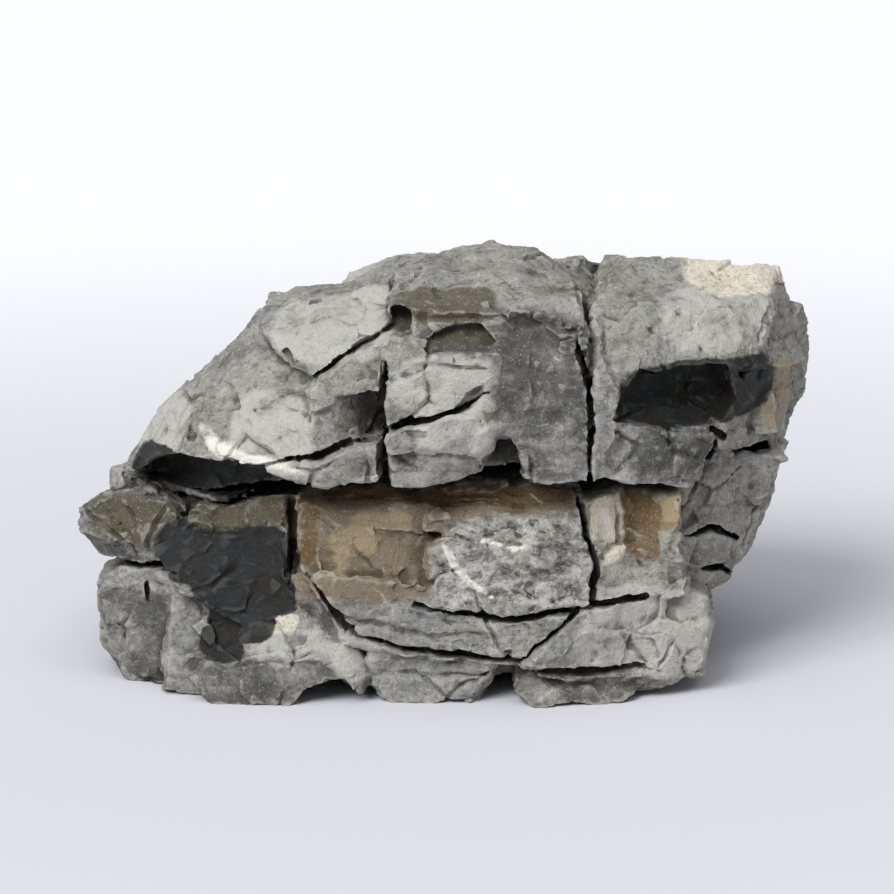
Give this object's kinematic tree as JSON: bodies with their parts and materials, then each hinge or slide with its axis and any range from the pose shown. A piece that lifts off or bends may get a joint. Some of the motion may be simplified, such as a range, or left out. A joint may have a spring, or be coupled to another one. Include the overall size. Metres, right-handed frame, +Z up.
{
  "type": "aquarium rock",
  "caption": "Natural grey limestone rock for aquascaping: an overhanging jointed upper slab on a broken, layered base with a flat underside.",
  "frame": {"origin": "centre of the rock's bounding box at the surface that it stands on", "axes": "+X along the long side of the rock, towards its higher end; -Y out of its best side, the one the picture shows; +Z up"},
  "size_m": [0.2, 0.138, 0.1143],
  "materials": {
    "stone": "rough, matt grey limestone with white veins and rusty stains"
  },
  "bodies": {
    "root": {"stone": "stone"}
  },
  "joints": []
}
